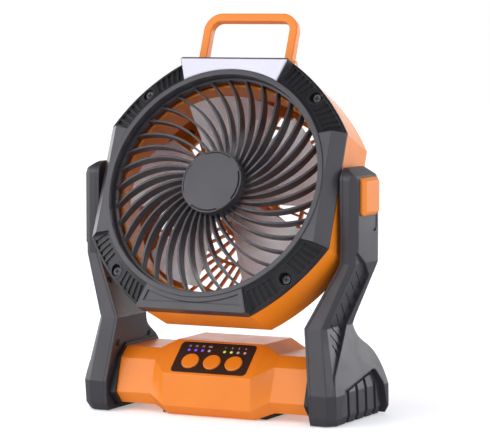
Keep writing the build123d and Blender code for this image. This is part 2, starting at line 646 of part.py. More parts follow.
def arm_outer():
    limit = arm_block(inner_shift=ARM_COVER)
    shell = limit - arm_hollow()
    bosses = [rod_x(3.2, 80, 130, y, z) & limit for y, z in ARM_SCREWS]
    pivot_boss = rod_x(13.5, 100, 130, PIVOT_Y, PIVOT_Z) & limit
    frame = cap_pocket(118, 130, 2.0) & limit
    body = shell + bosses + [pivot_boss, frame]
    field = soft_prism_x(PANEL_OUTLINE, 60, 140)
    cuts = [field - arm_skin(PANEL_SINK)] + panel_slits(field) + foot_arch() + [side_seam()]
    cuts += [rod_x(SCREW_R, 80, inner_x(z) + 12, y, z) for y, z in ARM_SCREWS]
    cuts.append(rod_x(BUSH_R, 100, 120.0, PIVOT_Y, PIVOT_Z))
    cuts.append(rod_x(BUSH_R + 0.3, 119, 130, PIVOT_Y, PIVOT_Z))
    cuts.append(cap_pocket(125.0, 135))
    cuts.append(foot_pad_solid())
    return body - cuts


def inner_x(z):
    """X of the arm's inner face at height z."""
    for low, high in zip(ARM_STATIONS, ARM_STATIONS[1:]):
        if low[0] <= z <= high[0]:
            return low[1] + (high[1] - low[1]) * (z - low[0]) / (high[0] - low[0])
    return ARM_STATIONS[-1][1]


def arm_inner():
    body = arm_block() - arm_block(inner_shift=ARM_COVER)
    body -= prism_x(full_section(NECK_SECTION, 0.0), 60, 110)
    cuts = [rod_x(SCREW_R + 0.1, 60, 130, y, z) for y, z in ARM_SCREWS]
    cuts += [rod_x(3.0, 60, inner_x(z) + 1.0, y, z) for y, z in ARM_SCREWS]
    cuts.append(rod_x(BUSH_R, 100, 130, PIVOT_Y, PIVOT_Z))
    return body - cuts


def arm_screws():
    screw = Rot(0, -90, 0) * pan_screw(2.7, 1.2, SCREW_R - 0.05, 9)
    return group(Pos(inner_x(z) + 1.0, y, z) * screw for y, z in ARM_SCREWS)


def foot_pad_solid(low=-5.0):
    return slab(98.5, 110.0, -46, 37, low, 3.0)


def foot_pad():
    return foot_pad_solid(0.0)


def pivot_cap():
    body = cap_pocket(125.0, CAP_FACE)
    return chamfer(body.faces().sort_by(Axis.X)[-1].edges(), 2.5)


def pivot_bush():
    bore = rod_x(TRUNNION_R + RUNNING_GAP, 100, 130, PIVOT_Y, PIVOT_Z)
    return rod_x(BUSH_R, 113.2, 120.0, PIVOT_Y, PIVOT_Z) - bore


def neck_collar():
    """Dark collar round the neck, seated on the arm's sloping inner face."""
    outer = prism_x(full_section(NECK_SECTION, 2.6), COLLAR_X, 98)
    outer -= prism_x(full_section(NECK_SECTION, 0.0), 60, 110)
    return outer - arm_block(inner_shift=0.0)


def neck_plate():
    """Plate screwed to the neck's end inside the arm; its hook holds the cover against the collar."""
    body = prism_x(full_section(NECK_SECTION), NECK_END_X, NECK_END_X + 2.5)
    body += slab(NECK_END_X, NECK_END_X + 2.5, -20, 5, 50, 60.5)
    body += slab(94.2, NECK_END_X + 2.5, -20, 5, 54.6, 60.5)
    return body - [rod_x(1.4, 90, 110, y, z) for y, z in NECK_SCREWS]


def neck_screws():
    screws = [
        Pos(NECK_END_X + 2.5, y, z) * Rot(0, 90, 0) * pan_screw(2.6, 1.6, 1.4, 6) for y, z in NECK_SCREWS
    ]
    return group(screws + [mirror(screw, about=Plane.YZ) for screw in screws])


# ---- head pivots ----------------------------------------------------------------------------
def trunnion():
    """Hollow stub axle: its flange sits inside the casing wall, its shank turns in the arm's bush."""
    wall = SHELL_HALF_X - SHELL_WALL
    body = rod_x(14, wall - 3, wall, PIVOT_Y, PIVOT_Z) + rod_x(TRUNNION_R, wall, 120.2, PIVOT_Y, PIVOT_Z)
    return body - rod_x(2.0, wall - 5, 130, PIVOT_Y, PIVOT_Z)


def friction_washer():
    return rod_x(13, SHELL_HALF_X, 112.9, PIVOT_Y, PIVOT_Z) - rod_x(TRUNNION_R, 100, 120, PIVOT_Y, PIVOT_Z)


def pivot_washer():
    return rod_x(9.6, 120.2, 121.7, PIVOT_Y, PIVOT_Z) - rod_x(2.0, 100, 130, PIVOT_Y, PIVOT_Z)


def pivot_screws():
    screw = Pos(121.7, PIVOT_Y, PIVOT_Z) * Rot(0, 90, 0) * pan_screw(4.0, 2.4, 2.0, 12)
    return group([screw, mirror(screw, about=Plane.YZ)])


# ---- base -----------------------------------------------------------------------------------
def full_section(half, grow=0.0):
    """Both halves of a base section, (y, z) points in order; grow moves every side outwards."""
    rear = NECK_REAR if half is NECK_SECTION else half
    points = [(-y, z) for y, z in half] + [(y, z) for y, z in reversed(rear)]
    if grow == 0:
        return points
    wire = offset(Polyline(*points, close=True), amount=grow, kind=Kind.INTERSECTION)
    return [(v.X, v.Y) for v in ordered_corners(wire)]


def ordered_corners(wire):
    corners = list(wire.vertices())
    cy = sum(v.X for v in corners) / len(corners)
    cz = sum(v.Y for v in corners) / len(corners)
    return sorted(corners, key=lambda v: -atan2(v.Y - cz, v.X - cy))


def base_block(inset=0.0):
    """Box and necks as one faceted bar; inset gives the hollow inside it."""
    stations = [
        (-NECK_END_X + 1.6 * inset, NECK_SECTION), (-NECK_START_X + 0.4 * inset, NECK_SECTION),
        (-BOX_HALF_X + 0.4 * inset, BOX_SECTION), (BOX_HALF_X - 0.4 * inset, BOX_SECTION),
        (NECK_START_X - 0.4 * inset, NECK_SECTION), (NECK_END_X - 1.6 * inset, NECK_SECTION),
    ]
    faces = []
    for x, half in stations:
        points = full_section(half, -inset)
        start = points.index(max(points, key=lambda p: (round(p[1], 3), -p[0])))
        points = points[start:] + points[:start]
        faces.append(make_face(Polyline(*[(x, y, z) for y, z in points], close=True)))
    return loft(faces, ruled=True)


def button_places():
    return [(-BUTTON_PITCH, BUTTON_UP), (0, BUTTON_UP), (BUTTON_PITCH, BUTTON_UP)]


def light_places(side):
    return [(side * LIGHT_GROUP_X + LIGHT_PITCH * (k - 1.5), LIGHT_UP) for k in range(4)]


def panel_sketch():
    return SLOPE * Pos(0, PANEL_CENTER, 0) * RectangleRounded(*PANEL_SIZE, 4)


def on_slope(x, up, shape):
    return SLOPE * Pos(x, up, 0) * shape


def base_housing():
    body = base_block() - base_block(BASE_WALL)
    cuts = [extrude(panel_sketch(), PANEL_THICK, both=True)]
    cuts += [on_slope(x, s, cylinder(BUTTON_R + 0.3, -8, 5)) for x, s in button_places()]
    cuts += [on_slope(x, s, cylinder(LIGHT_R, -8, 5)) for x, s in light_places(-1) + light_places(1)]
    cuts.append(slab(-33.8, 33.8, -38, 38, -2, 5))
    cuts.append(slab(-49.2, 49.2, -39, 39, -2, 2.0))
    cuts.append(slab(-5.2, 5.2, 50, 60, 20.5, 24.5))
    body -= cuts
    posts = [cylinder(3.3, 3.0, 60.5, x, y) for x, y in COVER_SCREWS]
    holes = [cylinder(SCREW_R, 0, 20, x, y) for x, y in COVER_SCREWS]
    holes += [rod_x(1.4, side * 92, side * 102, y, z) for side in (-1, 1) for y, z in NECK_SCREWS]
    return body + posts - holes


def base_cover():
    """Bottom plate let into the housing: a plug, a flange, and wedges under the rising ends."""
    plug = slab(-33.6, 33.6, -37.8, 37.8, COVER_Z, 4.5)
    flange = slab(-49, 49, -38.8, 38.8, COVER_Z, 2.0)
    wedge = slab(44, 49, -38.8, 38.8, 1.5, 5.0) - base_block()
    holes = [cylinder(SCREW_R + 0.1, 0, 10, x, y) for x, y in COVER_SCREWS]
    wells = [cylinder(3.0, 0, 1.5, x, y) for x, y in COVER_SCREWS]
    return plug + [flange, wedge, mirror(wedge, about=Plane.YZ)] - (holes + wells)


def base_screws():
    return group(
        Pos(x, y, 1.5) * Rot(180, 0, 0) * pan_screw(2.8, 0.8, SCREW_R, 12) for x, y in COVER_SCREWS
    )


def control_panel():
    body = extrude(panel_sketch(), PANEL_THICK, dir=-SLOPE.z_dir)
    cuts = [on_slope(x, s, cylinder(BUTTON_R + 0.3, -8, 5)) for x, s in button_places()]
    cuts += [on_slope(x, s, cylinder(LIGHT_R, -8, 5)) for x, s in light_places(-1) + light_places(1)]
    return body - cuts


def light_set(side):
    return group(on_slope(x, s, cylinder(LIGHT_R, -5.2, 0.05)) for x, s in light_places(side))


def control_board():
    return on_slope(0, 19, Pos(0, 0, -10.0) * Box(64, 30, 1.6))


def tact_switches():
    switch = Pos(0, 0, -8.2) * Box(6, 6, 2.0) + cylinder(1.7, -7.2, -6.4)
    return group(on_slope(x, s, switch) for x, s in button_places())


def button(x, up):
    cap = cylinder(BUTTON_R, -2.4, BUTTON_PROUD)
    cap = chamfer(cap.faces().sort_by(Axis.Z)[-1].edges(), 0.5)
    skirt = cylinder(BUTTON_R + 1.2, -4.0, -3.1) + cylinder(BUTTON_R - 1, -3.2, -2.3)
    stem = cylinder(2.0, -5.2, -3.8)
    return on_slope(x, up, cap + [skirt, stem])


def battery_cells():
    cell_r = 9.1
    cells = []
    for y in (-20.5, 0, 20.5):
        can = rod_x(cell_r, -32.5, 32.5, y, 18.0)
        cells.append(can + rod_x(3.0, 32.5, 33.8, y, 18.0))
    return group(cells)


def battery_tray():
    block = slab(-34.0, 34.0, -31, 31, 4.5, 15.0)
    return block - [rod_x(9.3, -34.2, 34.2, y, 18.0) for y in (-20.5, 0, 20.5)]


def usb_c_inlet():
    plan = Plane(origin=(0, 54.2, 22.5), x_dir=(1, 0, 0), z_dir=(0, -1, 0))
    shell = extrude(plan * SlotOverall(9.0, 3.2), 8.5)
    mouth = extrude(plan * SlotOverall(8.4, 2.6), 6.0)
    tongue = slab(-3.3, 3.3, 47.6, 53.2, 22.2, 22.8)
    return shell - mouth + tongue


# ---- assembly -------------------------------------------------------------------------------
def build_stand():
    parts["base_housing"] = base_housing()
    parts["base_cover"] = base_cover()
    parts["base_screws"] = base_screws()
    parts["control_panel"] = control_panel()
    parts["battery_lights"] = light_set(-1)
    parts["speed_lights"] = light_set(1)
    parts["control_board"] = control_board()
    parts["tact_switches"] = tact_switches()
    parts["battery_cells"] = battery_cells()
    parts["battery_tray"] = battery_tray()
    parts["usb_c_inlet"] = usb_c_inlet()
    both_sides("arm_outer", arm_outer())
    both_sides("arm_inner", arm_inner())
    both_sides("arm_screws", arm_screws())
    both_sides("foot_pad", foot_pad())
    both_sides("pivot_cap", pivot_cap())
    both_sides("pivot_bush", pivot_bush())
    both_sides("neck_collar", neck_collar())
    both_sides("neck_plate", neck_plate())
    parts["neck_screws"] = neck_screws()
    for name, (x, up) in zip(("fan_button", "timer_button", "lamp_button"), button_places()):
        parts[name] = button(x, up)


def build_head():
    head_parts = {
        "front_bezel": front_bezel(),
        "led_lens": led_lens(),
        "led_board": led_board(),
        "led_chips": led_chips(),
        "front_grille": front_grille(),
        "hub_cap": hub_cap(),
        "rear_shell": rear_shell(),
        "rear_guard": rear_guard(),
        "motor_mount": motor_mount(),
        "motor_can": motor_can(),
        "fan_blades": fan_blades(),
        "motor_shaft": motor_shaft(),
        "handle": handle(),
        "handle_pins": handle_pins(),
    }
    bezel_screw = pan_screw(3.6, 2.2, SCREW_R, 18)
    head_parts["bezel_screws"] = group(
        Pos(x, y, CORNER_WELL_Z) * bezel_screw for x, y in corner_screw_places()
    )
    guard_screw = pan_screw(2.8, 1.6, SCREW_R, 4.4)
    head_parts["guard_screws"] = group(
        Pos(*polar(GUARD_SCREW_R, 45 + 90 * k), GUARD_FRONT) * guard_screw for k in range(4)
    )
    motor_screw = Rot(180, 0, 0) * pan_screw(2.4, 1.4, 1.3, 6)
    head_parts["motor_screws"] = group(
        Pos(*polar(MOTOR_SCREW_R, 30 + 120 * k), GUARD_REAR) * motor_screw for k in range(3)
    )
    for name, shape in head_parts.items():
        parts[name] = HEAD * shape
    both_sides("pivot_trunnion", trunnion())
    both_sides("friction_washer", friction_washer())
    both_sides("pivot_washer", pivot_washer())
    parts["pivot_screws"] = pivot_screws()


build_stand()
build_head()
boxes = [shape.bounding_box() for shape in parts.values()]
front = min(box.min.Y for box in boxes)
back = max(box.max.Y for box in boxes)
shift_y = -(front + back) / 2
os.makedirs("parts", exist_ok=True)
for name, shape in parts.items():
    export_step(Pos(0, shift_y, 0) * shape, f"parts/{name}.step")
print("moved back by", round(shift_y, 3), "depth", round(back - front, 2))
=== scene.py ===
# Portable camping fan: finishes, small printed marks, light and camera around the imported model.
import bpy
import bmesh
from math import cos, hypot, radians, sin
from mathutils import Matrix, Vector


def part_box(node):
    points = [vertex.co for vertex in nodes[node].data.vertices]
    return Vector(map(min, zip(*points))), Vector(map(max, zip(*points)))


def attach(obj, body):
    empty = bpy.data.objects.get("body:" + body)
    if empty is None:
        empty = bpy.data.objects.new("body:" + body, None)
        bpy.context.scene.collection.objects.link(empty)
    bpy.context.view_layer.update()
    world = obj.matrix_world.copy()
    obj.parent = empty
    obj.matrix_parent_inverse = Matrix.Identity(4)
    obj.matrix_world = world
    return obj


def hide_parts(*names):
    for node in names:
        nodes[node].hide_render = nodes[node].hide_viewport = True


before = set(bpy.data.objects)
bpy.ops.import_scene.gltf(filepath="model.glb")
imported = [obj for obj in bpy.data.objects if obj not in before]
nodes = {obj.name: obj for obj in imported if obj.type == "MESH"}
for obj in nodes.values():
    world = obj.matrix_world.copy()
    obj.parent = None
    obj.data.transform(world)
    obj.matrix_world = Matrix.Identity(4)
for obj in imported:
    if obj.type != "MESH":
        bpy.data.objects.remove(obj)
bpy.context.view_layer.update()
print("frame loaded:", len(nodes), "nodes")


# shared effects are node groups, each material places its own copy
def makeGroup(name, inputs, outputs):
    group = bpy.data.node_groups.new(name, "ShaderNodeTree")
    for label, kind, value in inputs:
        socket = group.interface.new_socket(name=label, in_out="INPUT", socket_type=kind)
        if value is not None:
            socket.default_value = value
    for label, kind in outputs:
        group.interface.new_socket(name=label, in_out="OUTPUT", socket_type=kind)
    start = group.nodes.new("NodeGroupInput")
    end = group.nodes.new("NodeGroupOutput")
    return group, start.outputs, end.inputs


def feed(tree, value, socket):
    # a number or a colour is set on the socket, another node's output is linked to it
    if isinstance(value, (int, float)):
        socket.default_value = value
    elif isinstance(value, tuple):
        socket.default_value = (*value, 1)
    else:
        tree.links.new(value, socket)


def addMath(tree, operation, first, second, clamp=False):
    node = tree.nodes.new("ShaderNodeMath")
    node.operation = operation
    node.use_clamp = clamp
    feed(tree, first, node.inputs[0])
    feed(tree, second, node.inputs[1])
    return node.outputs[0]


def addNoise(tree, vector, scale, texture):
    node = tree.nodes.new("ShaderNodeTexNoise")
    node.inputs["Detail"].default_value = texture["detail"]
    node.inputs["Roughness"].default_value = texture["rough"]
    feed(tree, scale, node.inputs["Scale"])
    tree.links.new(vector, node.inputs["Vector"])
    return node.outputs["Fac"]


def addRange(tree, value, fromMin, fromMax, toMin=0.0, toMax=1.0):
    node = tree.nodes.new("ShaderNodeMapRange")
    tree.links.new(value, node.inputs["Value"])
    limits = {"From Min": fromMin, "From Max": fromMax, "To Min": toMin, "To Max": toMax}
    for label, number in limits.items():
        node.inputs[label].default_value = number
    return node.outputs["Result"]


def mixColors(tree, factor, first, second):
    node = tree.nodes.new("ShaderNodeMix")
    node.data_type = "RGBA"
    feed(tree, first, node.inputs["A"])
    feed(tree, second, node.inputs["B"])
    tree.links.new(factor, node.inputs["Factor"])
    return node.outputs["Result"]


def buildEdgeGroup():
    # softened corner normal, and a mask of where the moulding's edges run
    group, given, out = makeGroup(
        "softEdges",
        [("Radius", "NodeSocketFloat", 0.0006), ("Strength", "NodeSocketFloat", 2.5)],
        [("Normal", "NodeSocketVector"), ("Mask", "NodeSocketFloat")],
    )
    bevel = group.nodes.new("ShaderNodeBevel")
    bevel.samples = 6  # enough for smooth corners in a final render
    group.links.new(given["Radius"], bevel.inputs["Radius"])
    geometry = group.nodes.new("ShaderNodeNewGeometry")
    dot = group.nodes.new("ShaderNodeVectorMath")
    dot.operation = "DOT_PRODUCT"
    group.links.new(bevel.outputs["Normal"], dot.inputs[0])
    group.links.new(geometry.outputs["Normal"], dot.inputs[1])
    bend = addMath(group, "SUBTRACT", 1.0, dot.outputs["Value"])
    group.links.new(addMath(group, "MULTIPLY", bend, given["Strength"], clamp=True), out["Mask"])
    group.links.new(bevel.outputs["Normal"], out["Normal"])
    return group


# mould texture (its depth in metres), slow change of tone, and smudges; a higher scale is finer
grain = {"scale": 2400.0, "detail": 3.0, "rough": 0.6, "depth": 0.0001}
drift = {"scale": 18.0, "detail": 2.0, "rough": 0.5, "low": 0.3, "high": 0.7}
smudge = {"scale": 45.0, "detail": 4.0, "rough": 0.65, "low": 0.35, "high": 0.65}


def buildGrainGroup():
    # spark-eroded mould grain: a height for the bump and a slow tone drift
    group, given, out = makeGroup(
        "mouldGrain",
        [
            ("Vector", "NodeSocketVector", None),
            ("Scale", "NodeSocketFloat", grain["scale"]),
            ("Drift", "NodeSocketFloat", drift["scale"]),
        ],
        [("Height", "NodeSocketFloat"), ("Tone", "NodeSocketFloat")],
    )
    fine = addNoise(group, given["Vector"], given["Scale"], grain)
    slow = addNoise(group, given["Vector"], given["Drift"], drift)
    group.links.new(fine, out["Height"])
    group.links.new(addRange(group, slow, drift["low"], drift["high"]), out["Tone"])
    return group


def buildHandlingGroup():
    # faint smudges that change the gloss where hands and air have been
    group, given, out = makeGroup(
        "handling",
        [
            ("Vector", "NodeSocketVector", None),
            ("Low", "NodeSocketFloat", 0.35),
            ("High", "NodeSocketFloat", 0.5),
        ],
        [("Roughness", "NodeSocketFloat")],
    )
    broad = addNoise(group, given["Vector"], smudge["scale"], smudge)
    mask = addRange(group, broad, smudge["low"], smudge["high"])
    span = addMath(group, "SUBTRACT", given["High"], given["Low"])
    dulled = addMath(group, "MULTIPLY", mask, span)
    group.links.new(addMath(group, "ADD", dulled, given["Low"]), out["Roughness"])
    return group


edgeGroup = buildEdgeGroup()
grainGroup = buildGrainGroup()
handlingGroup = buildHandlingGroup()


def placeGroup(tree, group, place=None, **values):
    node = tree.nodes.new("ShaderNodeGroup")
    node.node_tree = group
    for label, value in values.items():
        node.inputs[label].default_value = value
    if place is not None:
        tree.links.new(place, node.inputs["Vector"])
    return node.outputs


def addBump(tree, height, strength, normal=None):
    node = tree.nodes.new("ShaderNodeBump")
    node.inputs["Strength"].default_value = strength
    node.inputs["Distance"].default_value = grain["depth"]
    tree.links.new(height, node.inputs["Height"])
    if normal is not None:
        tree.links.new(normal, node.inputs["Normal"])
    return node.outputs["Normal"]


def startMaterial(name):
    material = bpy.data.materials.new(name)
    material.use_nodes = True
    tree = material.node_tree
    place = tree.nodes.new("ShaderNodeTexCoord").outputs["Object"]
    return material, tree, tree.nodes["Principled BSDF"], place


def mouldedPlastic(name, look):
    # textured ABS: two near tones, a painted highlight along the edges, smudged gloss and fine grain
    material, tree, shader, place = startMaterial(name)
    texture = placeGroup(tree, grainGroup, place, Scale=look["grain"])
    handling = placeGroup(tree, handlingGroup, place, Low=look["rough"][0], High=look["rough"][1])
    edges = placeGroup(tree, edgeGroup, Radius=look["edge"], Strength=look["edgeMask"])
    tone = mixColors(tree, texture["Tone"], look["color"], look["deep"])
    # painted highlight: the edge mask mixes a lighter colour into the moulding along its edges
    highlightedEdges = mixColors(tree, edges["Mask"], tone, look["edgeColor"])
    tree.links.new(highlightedEdges, shader.inputs["Base Color"])
    tree.links.new(handling["Roughness"], shader.inputs["Roughness"])
    normal = addBump(tree, texture["Height"], look["bump"], edges["Normal"])
    tree.links.new(normal, shader.inputs["Normal"])
    shader.inputs["Specular IOR Level"].default_value = look.get("specular", 0.5)
    return material


# colours are linear; "edge" is the soft corner's radius in metres, "grain" the scale of the texture
# the edge colour of each look is a painted highlight along the moulding's edges, lighter than its own
# colour
orangeLook = {
    "color": (0.73, 0.202, 0.009), "deep": (0.69, 0.183, 0.007), "edgeColor": (0.92, 0.36, 0.05),
    "grain": 2600.0, "rough": (0.34, 0.42), "edge": 0.0015, "edgeMask": 2.0, "bump": 0.20,
    "specular": 0.6,
}
handleLook = dict(orangeLook, edge=0.0022, rough=(0.28, 0.36), edgeColor=(0.86, 0.26, 0.02))
greyLook = {
    "color": (0.031, 0.029, 0.036), "deep": (0.027, 0.025, 0.031), "edgeColor": (0.055, 0.054, 0.060),
    "grain": 2200.0, "rough": (0.34, 0.42), "edge": 0.0009, "edgeMask": 2.0, "bump": 0.25,
    "specular": 1.0,
}
armLook = dict(greyLook, edge=0.0015, edgeMask=1.0, specular=0.8)
grilleLook = dict(greyLook, edge=0.0006)
darkLook = {
    "color": (0.016, 0.016, 0.018), "deep": (0.012, 0.012, 0.013), "edgeColor": (0.045, 0.045, 0.05),
    "grain": 2200.0, "rough": (0.40, 0.55), "edge": 0.0005, "edgeMask": 2.0, "bump": 0.3,
}
# painted shade: the arm screws are coloured near-black, so their heads read as the shade in their wells
screwShadeLook = dict(
    darkLook, color=(0.007, 0.007, 0.008), deep=(0.005, 0.005, 0.006), edgeColor=(0.02, 0.02, 0.022),
    rough=(0.55, 0.68), specular=0.25,
)
rubberLook = {
    "color": (0.014, 0.014, 0.014), "deep": (0.010, 0.010, 0.010), "edgeColor": (0.03, 0.03, 0.03),
    "grain": 1500.0, "rough": (0.72, 0.85), "edge": 0.0005, "edgeMask": 1.5, "bump": 0.5,
}
# painted shade: the sunk corner panels take a near-black colour in place of the bezel's grey
cornerShadeLook = dict(
    greyLook, color=(0.014, 0.0135, 0.016), deep=(0.011, 0.0105, 0.013), edgeColor=(0.10, 0.10, 0.11),
    edge=0.0004, edgeMask=2.5, specular=0.65,
)
panelLook = {
    "color": (0.026, 0.015, 0.0145), "deep": (0.020, 0.012, 0.011), "edgeColor": (0.07, 0.05, 0.05),
    "grain": 700.0, "rough": (0.28, 0.42), "edge": 0.0002, "edgeMask": 1.0, "bump": 0.5,
    "specular": 0.3,
}
nylonLook = {
    "color": (0.55, 0.53, 0.47), "deep": (0.50, 0.48, 0.42), "edgeColor": (0.62, 0.60, 0.55),
    "grain": 1800.0, "rough": (0.40, 0.50), "edge": 0.0003, "edgeMask": 1.0, "bump": 0.15,
}
boardLook = {
    "color": (0.010, 0.070, 0.028), "deep": (0.008, 0.055, 0.022), "edgeColor": (0.10, 0.14, 0.06),
    "grain": 700.0, "rough": (0.25, 0.35), "edge": 0.0002, "edgeMask": 1.0, "bump": 0.2,
}
cellLook = {
    "color": (0.015, 0.085, 0.22), "deep": (0.012, 0.070, 0.19), "edgeColor": (0.10, 0.22, 0.40),
    "grain": 900.0, "rough": (0.22, 0.32), "edge": 0.0003, "edgeMask": 1.0, "bump": 0.1,
}
orangePlastic = mouldedPlastic("orangePlastic", orangeLook)
handlePlastic = mouldedPlastic("handlePlastic", handleLook)
greyPlastic = mouldedPlastic("greyPlastic", greyLook)
armPlastic = mouldedPlastic("armPlastic", armLook)
grillePlastic = mouldedPlastic("grillePlastic", grilleLook)
darkPlastic = mouldedPlastic("darkPlastic", darkLook)
cornerPlastic = mouldedPlastic("cornerPlastic", cornerShadeLook)
blackScrews = mouldedPlastic("blackScrews", screwShadeLook)
footRubber = mouldedPlastic("footRubber", rubberLook)
smokedPanel = mouldedPlastic("smokedPanel", panelLook)
plainNylon = mouldedPlastic("plainNylon", nylonLook)
greenBoard = mouldedPlastic("greenBoard", boardLook)
cellSleeve = mouldedPlastic("cellSleeve", cellLook)

steelLook = {
    "color": (0.42, 0.42, 0.43), "deep": (0.30, 0.30, 0.31), "brush": 900.0, "drift": 300.0,
    "rough": (0.28, 0.42), "bump": 0.2,
}


def platedSteel(name, look):
    material, tree, shader, place = startMaterial(name)
    texture = placeGroup(tree, grainGroup, place, Scale=look["brush"], Drift=look["drift"])
    tone = mixColors(tree, texture["Tone"], look["color"], look["deep"])
    tree.links.new(tone, shader.inputs["Base Color"])
    gloss = addRange(tree, texture["Tone"], 0.0, 1.0, *look["rough"])
    tree.links.new(gloss, shader.inputs["Roughness"])
    tree.links.new(addBump(tree, texture["Height"], look["bump"]), shader.inputs["Normal"])
    shader.inputs["Metallic"].default_value = 1.0
    return material


clearPlastic = {"ior": 1.45, "depth": 0.002}  # depth in metres that light goes into frosted walls


def milkyPlastic(name, look):
    # clear or frosted mouldings, print and small lights: no grain, only tone, gloss and soft corners
    material, tree, shader, place = startMaterial(name)
    handling = placeGroup(tree, handlingGroup, place, Low=look["rough"][0], High=look["rough"][1])
    edges = placeGroup(tree, edgeGroup, Radius=look["edge"])
    texture = placeGroup(tree, grainGroup, place, Drift=look["drift"])
    tone = mixColors(tree, texture["Tone"], look["color"], look["deep"])
    tree.links.new(tone, shader.inputs["Base Color"])
    tree.links.new(handling["Roughness"], shader.inputs["Roughness"])
    tree.links.new(edges["Normal"], shader.inputs["Normal"])
    shader.inputs["Transmission Weight"].default_value = look.get("through", 0.0)
    shader.inputs["Subsurface Weight"].default_value = look.get("soft", 0.0)
    shader.inputs["Subsurface Scale"].default_value = clearPlastic["depth"]
    shader.inputs["IOR"].default_value = clearPlastic["ior"]
    if look.get("glow", 0.0) > 0:
        shader.inputs["Emission Color"].default_value = (*look["color"], 1)
        shader.inputs["Emission Strength"].default_value = look["glow"]
    return material


# the blades are too thin for soft corners, so their edge is 0
bladeLook = {
    "color": (0.96, 0.94, 0.96), "deep": (0.94, 0.91, 0.94), "rough": (0.34, 0.42), "edge": 0.0,
    "drift": 12.0, "through": 0.62, "soft": 0.6,
}
lensLook = {
    "color": (0.60, 0.59, 0.66), "deep": (0.57, 0.56, 0.64), "rough": (0.30, 0.38), "edge": 0.0004,
    "drift": 25.0,
}
chipLook = {
    "color": (0.85, 0.75, 0.25), "deep": (0.80, 0.70, 0.22), "rough": (0.3, 0.4), "edge": 0.0002,
    "drift": 400.0,
}
inkLook = dict(chipLook, color=(0.80, 0.78, 0.78), deep=(0.76, 0.74, 0.74))
steel = platedSteel("platedSteel", steelLook)
bladePlastic = milkyPlastic("bladePlastic", bladeLook)
lampLens = milkyPlastic("lampLens", lensLook)
lampChip = milkyPlastic("lampChip", chipLook)
printInk = milkyPlastic("printInk", inkLook)


def indicator(name, look):
    # a light of the panel, with a second tone a tenth darker than its colour
    deep = tuple(0.9 * part for part in look["color"])
    return milkyPlastic(name, dict(chipLook, deep=deep, **look))


indicatorLooks = {
    "litBlue": {"color": (0.14, 0.09, 0.85), "glow": 0.55},
    "litGreen": {"color": (0.45, 0.72, 0.14), "glow": 0.45},
    "unlit": {"color": (0.62, 0.56, 0.55)},
}
indicators = {name: indicator(name, look) for name, look in indicatorLooks.items()}
print("materials built:", len(bpy.data.materials))

# finish of each node, by its name without the side; what isn't listed is plated steel
finishes = {
    "base_housing": orangePlastic, "rear_shell": orangePlastic, "rear_guard": orangePlastic,
    "motor_mount": orangePlastic, "pivot_cap": orangePlastic, "handle": handlePlastic,
    "fan_button": orangePlastic, "timer_button": orangePlastic, "lamp_button": orangePlastic,
    "front_bezel": greyPlastic, "hub_cap": greyPlastic, "bezel_screws": greyPlastic,
    "front_grille": grillePlastic, "arm_outer": armPlastic, "arm_inner": armPlastic,
    "arm_screws": blackScrews, "neck_collar": darkPlastic, "neck_plate": darkPlastic,
    "base_cover": darkPlastic, "battery_tray": darkPlastic, "tact_switches": darkPlastic,
    "foot_pad": footRubber, "friction_washer": footRubber, "control_panel": smokedPanel,
    "fan_blades": bladePlastic, "led_lens": lampLens, "led_chips": lampChip,
    "led_board": greenBoard, "control_board": greenBoard, "battery_cells": cellSleeve,
    "pivot_trunnion": plainNylon, "pivot_bush": plainNylon,
}
for name, node in nodes.items():
    stem = name.replace("_left", "").replace("_right", "")
    node.data.materials.clear()
    node.data.materials.append(finishes.get(stem, steel))


def paintLights(name, order):
    # each light of the row gets its own colour, from left to right
    mesh = nodes[name].data
    low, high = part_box(name)
    mesh.materials.clear()
    for label in order:
        mesh.materials.append(indicators[label])
    pitch = (high.x - low.x) / len(order)
    for face in mesh.polygons:
        face.material_index = min(len(order) - 1, max(0, int((face.center.x - low.x) / pitch)))


paintLights("battery_lights", ["litBlue", "litBlue", "litBlue", "unlit"])
paintLights("speed_lights", ["litGreen", "litGreen", "unlit", "unlit"])


# the head's tilt axis and how far it leans back, and where the sunk panels lie in its plane
headPlane = {"pivot": (0.0, -0.001456, 0.1852), "lean": 22.0}
cornerPanel = {
    "lipRadius": 0.1007, "lipHeight": 0.0350, "fall": 0.457, "slack": 0.0004, "floor": 0.0180,
    "inner": 0.045, "overlap": 0.0005,
}


def toHead(point):
    # world place in the head's own plane: across, up the face, and out of it
    turn = radians(90.0 - headPlane["lean"])
    y, z = point[1] - headPlane["pivot"][1], point[2] - headPlane["pivot"][2]
    return point[0], y * cos(turn) + z * sin(turn), z * cos(turn) - y * sin(turn)


def paintCorners(name, material):
    # painted shade: the sunk corner panels are coloured darker than the rest of the bezel
    mesh = nodes[name].data
    mesh.materials.append(material)
    for face in mesh.polygons:
        across, up, out = toHead(face.center)
        pastLip = hypot(across, up) - cornerPanel["lipRadius"]
        surface = cornerPanel["lipHeight"] - cornerPanel["fall"] * pastLip
        inCorner = min(abs(across), abs(up)) > cornerPanel["inner"] and pastLip > -cornerPanel["overlap"]
        if inCorner and cornerPanel["floor"] < out < surface + cornerPanel["slack"]:
            face.material_index = 1


paintCorners("front_bezel", cornerPlastic)
print("finishes assigned")


# y and z of the cap's middle, x of its back and face, all in metres
leftCap = {
    "center": (-0.003256, 0.1889), "size": 0.0311, "corner": 0.0040, "steps": 8,
    "back": -0.1252, "face": -0.1290, "chamfer": 0.0004,
}


